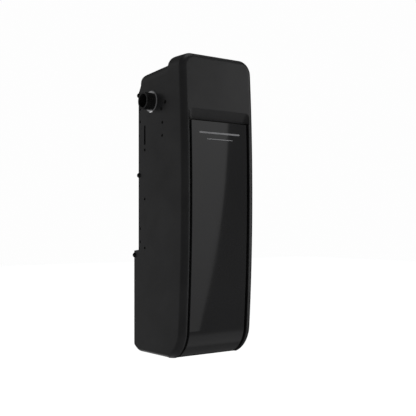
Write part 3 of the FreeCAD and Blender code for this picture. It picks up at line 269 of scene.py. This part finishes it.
def black_oxide(name, roughness=0.38):
    """Blackened steel that shows brighter metal on its edges."""
    s = Shader(name)
    rub = s.combine("MULTIPLY", s.edges(0.00035), s.mottle(140.0, 3.0, 0.4, 0.6))
    tone = s.mix(s.mottle(70.0, 3.0, 0.35, 0.65), (0.012, 0.012, 0.013), (0.022, 0.021, 0.020))
    s.set(
        Metallic=0.55,
        Base_Color=s.mix(rub, tone, (0.16, 0.155, 0.15)),
        Roughness=s.mottle(240.0, to_low=roughness - 0.06, to_high=roughness + 0.08),
    )
    s.bump(s.noise(900.0, 2.0), FINE_RELIEF, 0.5)
    return s.material


def cast_metal(name, colour):
    """Die-cast aluminium: pale, mottled and slightly pebbled."""
    s = Shader(name)
    s.set(
        Metallic=0.9,
        Base_Color=s.mix(s.mottle(30.0, 5.0), colour, [c * 0.8 for c in colour]),
        Roughness=s.mottle(180.0, to_low=0.38, to_high=0.55),
    )
    s.bump(s.noise(420.0), 0.00006, 0.6)
    return s.material


def laminations(name, colour, seam, pitch, axis):
    """Stack of thin sheets, seen as fine lines across one axis."""
    s = Shader(name)
    line = s.ranged(s.bands(WAVE_PERIOD / pitch, axis, 0.4), 0.0, 0.3)
    s.set(Metallic=0.6, Roughness=0.5, Base_Color=s.mix(line, seam, colour))
    s.bump(line, 0.0001, 0.6)
    return s.material


def circuit_board(name):
    """Green solder mask over copper tracks and pads."""
    s = Shader(name)
    bricks = s.add("ShaderNodeTexBrick", offset=0.35, offset_frequency=2, squash=1.0, squash_frequency=2)
    sizes = (("Scale", 130.0), ("Mortar Size", 0.035), ("Brick Width", 0.9), ("Row Height", 0.22))
    for key, number in sizes:
        bricks.inputs[key].default_value = number
    upright = s.add("ShaderNodeMapping")
    upright.inputs["Rotation"].default_value = (math.radians(90), 0, 0)
    s.feed(s.coords, upright.inputs["Vector"])
    s.feed(upright.outputs["Vector"], bricks.inputs["Vector"])
    tracks = bricks.outputs["Fac"]
    pads = s.ranged(s.cells(260.0), 0.16, 0.20, 1.0, 0.0)
    mask = s.mix(tracks, (0.006, 0.065, 0.022), (0.012, 0.12, 0.04))
    s.set(Roughness=0.32, Base_Color=s.mix(pads, mask, (0.55, 0.53, 0.50)))
    s.bump(tracks, 0.00004, 0.7)
    return s.material


def wound_tape(name, colour):
    """Yellowed tape wound in overlapping turns."""
    s = Shader(name)
    turns = s.bands(48.0, "Z")
    lap = s.ranged(turns, 0.0, 0.12)
    s.set(Roughness=0.42, Base_Color=s.mix(lap, [c * 0.5 for c in colour], colour))
    s.bump(turns, 0.0001, 0.5)
    return s.material


def frosted_lens(name):
    """Milky diffuser of an indicator lamp."""
    s = Shader(name)
    s.set(
        Roughness=0.25, Subsurface_Weight=0.4, Subsurface_Scale=0.001, Transmission_Weight=0.3,
        Base_Color=s.mix(s.mottle(300.0), (0.78, 0.80, 0.76), (0.86, 0.87, 0.84)),
    )
    return s.material


def soft_rubber(name):
    """Matt black rubber with a bloom of grey dust."""
    s = Shader(name)
    dust = s.mottle(120.0, 5.0, 0.5, 0.75)
    s.set(
        Base_Color=s.mix(dust, (0.012, 0.012, 0.012), (0.035, 0.034, 0.033)),
        Roughness=s.mottle(200.0, to_low=0.62, to_high=0.78),
    )
    s.bump(s.noise(1400.0, 2.0), 0.00002, 0.5)
    return s.material


def dull_black(name):
    """Phosphated steel, matt and very dark, made darker and duller than the case as painted shade, so the
    screw heads show as the shade of deep holes.
    """
    s = Shader(name)
    patches = s.mottle(160.0, 3.0, 0.35, 0.65)
    s.set(
        # painted shade: weak gloss and near-black colour make the heads read as shadowed holes
        Specular_IOR_Level=0.15,
        Base_Color=s.mix(patches, (0.003, 0.003, 0.003), (0.007, 0.007, 0.007)),
        Roughness=s.mottle(260.0, to_low=0.50, to_high=0.66),
    )
    s.bump(s.noise(1100.0, 2.0), FINE_RELIEF, 0.5)
    return s.material


def all_materials():
    """The CAD nodes that each material is for."""
    return {
        grained_plastic("case_plastic", CASE_BLACK, 0.36): ["front_cover", "rear_housing"],
        polished_plastic("panel_gloss", (0.0140, 0.0140, 0.0145)): ["access_panel"],
        plain_metal("inlay_metal", (0.30, 0.30, 0.31), 0.30, (1.0, 1.0, 30.0)): ["panel_inlays"],
        plain_metal("drawn_pin", STEEL, 0.28, (0.05, 1.0, 1.0)): [
            "panel_hinge_pins", "release_pivot_pin", "encoder_pin", "shaft_keys"],
        plain_metal("nickel", (0.66, 0.64, 0.60), 0.25): [
            "panel_magnets", "terminal_screws", "battery_terminals"],
        black_oxide("screw_black"): ["plate_screws", "collar_set_screws"],
        # painted shade: these screw heads stand in for the shade of holes
        dull_black("phosphate_and_hole_shade"): ["bracket_screws", "side_screws"],
        black_oxide("shaft_black", 0.30): ["output_shaft", "shaft_rings"],
        grained_plastic("plate_paint", (0.010, 0.010, 0.010), 0.45, 900.0): ["bearing_plates"],
        plain_metal("turned_steel", (0.72, 0.72, 0.73), 0.22, (0.03, 1.0, 1.0), 500.0): ["shaft_bushes"],
        grained_plastic("acetal", ACETAL, 0.40, 1200.0, 0.00002): ["encoder_drive_gear", "encoder_gear"],
        plain_metal("zinc_plate", ZINC, 0.34): [
            "encoder_bracket", "release_bracket", "release_lever", "back_plate", "fascia_screws",
            "gearbox_screws", "motor_can"],
        plain_metal("bronze", BRONZE, 0.36, (0.1, 1.0, 1.0)): ["worm_wheel", "hub_bushes", "worm_bushes"],
        plain_metal("hard_steel", STEEL, 0.24, (1.0, 1.0, 0.1)): [
            "worm", "clutch_dog", "clutch_spring", "release_spring"],
        cast_metal("cast_aluminium", CAST): ["gearbox_left", "gearbox_right", "motor_end_plate"],
        laminations("armature_core", (0.32, 0.30, 0.28), (0.08, 0.07, 0.06), 0.0009, "Z"): [
            "motor_armature"],
        grained_plastic("ferrite", (0.05, 0.05, 0.055), 0.6, 700.0): ["motor_magnets"],
        grained_plastic("phenolic", (0.16, 0.07, 0.03), 0.5): ["brush_plate"],
        grained_plastic("carbon", (0.03, 0.03, 0.03), 0.55): ["motor_brushes"],
        plain_metal("brass", (0.78, 0.58, 0.28), 0.30): ["bracket_inserts"],
        grained_plastic("fascia_plastic", (0.030, 0.030, 0.033), 0.5, 1100.0): ["control_fascia"],
        circuit_board("solder_mask"): ["logic_board"],
        grained_plastic("nylon", (0.66, 0.65, 0.61), 0.5): ["board_standoffs"],
        grained_plastic("switch_body", (0.03, 0.03, 0.03), 0.45): ["button_switches"],
        frosted_lens("lamp_diffuser"): ["status_lights"],
        grained_plastic("terminal_green", (0.03, 0.20, 0.07), 0.42): ["terminal_block"],
        grained_plastic("tray_plastic", (0.022, 0.022, 0.024), 0.55, 1000.0): ["battery_tray"],
        grained_plastic("battery_case", (0.10, 0.10, 0.105), 0.48, 1000.0): ["battery"],
        soft_rubber("rubber"): ["battery_strap", "rope_bush", "cord_gland"],
        laminations("transformer_core", (0.24, 0.23, 0.22), (0.06, 0.055, 0.05), 0.0012, "Y"): [
            "transformer"],
        wound_tape("winding_tape", (0.55, 0.42, 0.10)): ["transformer_coil"],
        grained_plastic("learn_yellow", (0.52, 0.33, 0.03), 0.42): ["learn_button"],
        grained_plastic("button_grey", (0.30, 0.30, 0.32), 0.45): [
            "set_button", "down_button", "up_button"],
    }


def dress_nodes():
    """Give every CAD node its material."""
    for material, names in all_materials().items():
        for name in names:
            mesh = nodes[name].data
            mesh.materials.clear()
            mesh.materials.append(material)


# ---------------------------------------------------------------- stage
def add_floor():
    """Plain pale floor below the object, as one large sheet that the gloss doesn't mirror."""
    height = cad_low.z - FLOOR_DROP
    mesh = bpy.data.meshes.new("floor")
    corners = [(x * FLOOR_HALF, y * FLOOR_HALF, height) for x, y in ((-1, -1), (1, -1), (1, 1), (-1, 1))]
    mesh.from_pydata(corners, [], [(0, 1, 2, 3)])
    floor = bpy.data.objects.new("floor", mesh)
    bpy.context.scene.collection.objects.link(floor)
    s = Shader("floor_white")
    s.set(
        Base_Color=s.mix(s.mottle(1.5), (0.86, 0.86, 0.86), (0.89, 0.89, 0.89)),
        Roughness=0.9, Emission_Color=(1.0, 1.0, 1.0, 1.0), Emission_Strength=FLOOR_GLOW,
    )
    mesh.materials.append(s.material)
    floor.visible_glossy = False


class Surroundings(Tree):
    """The world: white to the camera, an even fill for diffuse light, and a lit room for the gloss."""

    def __init__(self):
        self.world = bpy.data.worlds.new("studio")
        super().__init__(self.world)
        self.tree.nodes.clear()
        self.direction = self.add("ShaderNodeTexCoord").outputs["Generated"]
        split = self.add("ShaderNodeSeparateXYZ")
        self.feed(self.direction, split.inputs[0])
        self.level = split.outputs["Z"]
        self.rays = self.add("ShaderNodeLightPath").outputs

    def step(self, value, middle, soft, low, high):
        """Smooth step from low to high about a middle value."""
        return self.ranged(value, middle - soft, middle + soft, low, high, "SMOOTHSTEP")

    def wedge(self, start, end, low, high, radiance):
        """Light between two upright planes, given in degrees, and between two levels."""
        value = self.step(self.level, low, LEVEL_SOFT, 0.0, radiance)
        value = self.combine("MULTIPLY", value, self.step(self.level, high, LEVEL_SOFT, 1.0, 0.0))
        for angle in (start + 90, end - 90):
            side = self.cosine(self.direction, turned(math.radians(angle)))
            value = self.combine("MULTIPLY", value, self.step(side, 0.0, SIDE_SOFT, 0.0, 1.0))
        return value

    def glow(self, angle, elevation, half, radiance):
        """Round patch of light about a direction in degrees."""
        aim = self.cosine(self.direction, turned(math.radians(angle), math.radians(elevation)))
        ends = [math.cos(math.radians(half) + side * GLOW_SOFT) for side in (1, -1)]
        return self.ranged(aim, *ends, 0.0, radiance, "SMOOTHSTEP")

    def choose(self, ray, value, otherwise):
        """A constant for one kind of ray and another value otherwise."""
        node = self.add("ShaderNodeMix", data_type="FLOAT")
        # 0 is a Mix node's factor, and 2 and 3 are its numbers
        for slot, given in ((0, self.rays[ray]), (2, otherwise), (3, value)):
            self.feed(given, node.inputs[slot])
        return node.outputs[0]


def add_world():
    """Surroundings with the room's lights."""
    around = Surroundings()
    room = around.combine("ADD", around.glow(*GLOW), ROOM_DIM)
    for values in WEDGES:
        room = around.combine("ADD", room, around.wedge(*values))
    seen = around.choose("Is Camera Ray", BACKGROUND, around.choose("Is Diffuse Ray", FILL, room))
    background = around.add("ShaderNodeBackground")
    around.feed((1.0, 1.0, 1.0, 1.0), background.inputs["Color"])
    around.feed(seen, background.inputs["Strength"])
    output = around.add("ShaderNodeOutputWorld")
    around.feed(background.outputs["Background"], output.inputs["Surface"])
    bpy.context.scene.world = around.world


def add_softbox(name, place, aim, size, radiance, roll=0.0):
    """Rectangular softbox at a place, facing a point, rolled about its own axis."""
    data = bpy.data.lights.new(name, "AREA")
    data.shape = "RECTANGLE"
    data.size, data.size_y = size
    data.energy = radiance * math.pi * size[0] * size[1]
    lamp = bpy.data.objects.new(name, data)
    lamp.location = place
    lamp.rotation_mode = "QUATERNION"
    facing = (Vector(aim) - Vector(place)).to_track_quat("-Z", "Y")
    lamp.rotation_quaternion = facing @ Quaternion((0, 0, 1), roll)
    bpy.context.scene.collection.objects.link(lamp)
    return lamp


def add_lights():
    """A strip softbox that the panel mirrors, nodded down, and a broad one overhead."""
    panel_low, panel_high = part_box("access_panel")
    centre = (panel_low + panel_high) / 2
    centre.y = cad_low.y
    outwards = turned(STRIP_TURN)
    sideways = Vector((-outwards.y, outwards.x, 0.0))
    half_width = STRIP_SIZE[0] / 2 / math.cos(STRIP_ROLL)
    place = centre + outwards * STRIP_DISTANCE + sideways * (STRIP_EDGE - half_width)
    place.z += STRIP_RISE
    aim = place - outwards + Vector((0, 0, STRIP_NOD))
    strip = add_softbox("strip", place, aim, STRIP_SIZE, STRIP_RADIANCE, STRIP_ROLL)
    strip.data.spread = STRIP_SPREAD
    add_softbox("overhead", OVERHEAD_PLACE, (0.0, 0.0, 0.0), OVERHEAD_SIZE, OVERHEAD_RADIANCE)


def add_camera():
    """Level camera to the left of the object's front."""
    data = bpy.data.cameras.new("camera")
    data.lens = CAMERA_LENS
    data.shift_y = CAMERA_SHIFT
    data.clip_end = CAMERA_REACH
    camera = bpy.data.objects.new("camera", data)
    camera.location = CAMERA_PLACE
    camera.rotation_euler = (math.radians(90), 0.0, -CAMERA_YAW)
    bpy.context.scene.collection.objects.link(camera)
    bpy.context.scene.camera = camera


bpy.context.scene.view_settings.view_transform = "Standard"
dress_nodes()
add_floor()
add_world()
add_lights()
add_camera()
